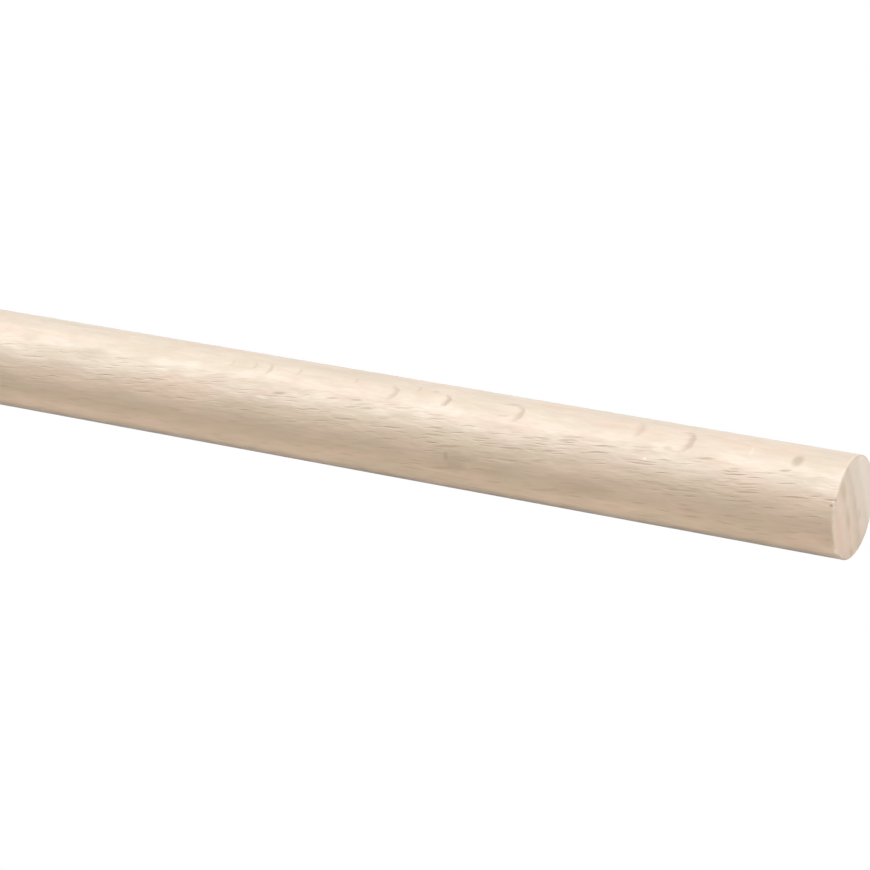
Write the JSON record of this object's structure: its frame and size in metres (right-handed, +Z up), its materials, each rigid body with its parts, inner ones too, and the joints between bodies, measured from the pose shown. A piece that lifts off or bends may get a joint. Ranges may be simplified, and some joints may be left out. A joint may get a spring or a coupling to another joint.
{
  "type": "wooden dowel rod",
  "caption": "Straight round beech dowel rod with square sawn ends and lightly rounded edges, pushed or glued into a hole at either end.",
  "frame": {"origin": "on the rod's axis, half way along its length", "axes": "+X along the rod towards its right-hand end, +Z up as the rod lies, +Y away from its front"},
  "size_m": [1, 0.02, 0.02],
  "materials": {
    "beech": "raw beech, planed and sanded along its length, with sawn end grain"
  },
  "bodies": {
    "root": {"rod": "beech"}
  },
  "joints": []
}
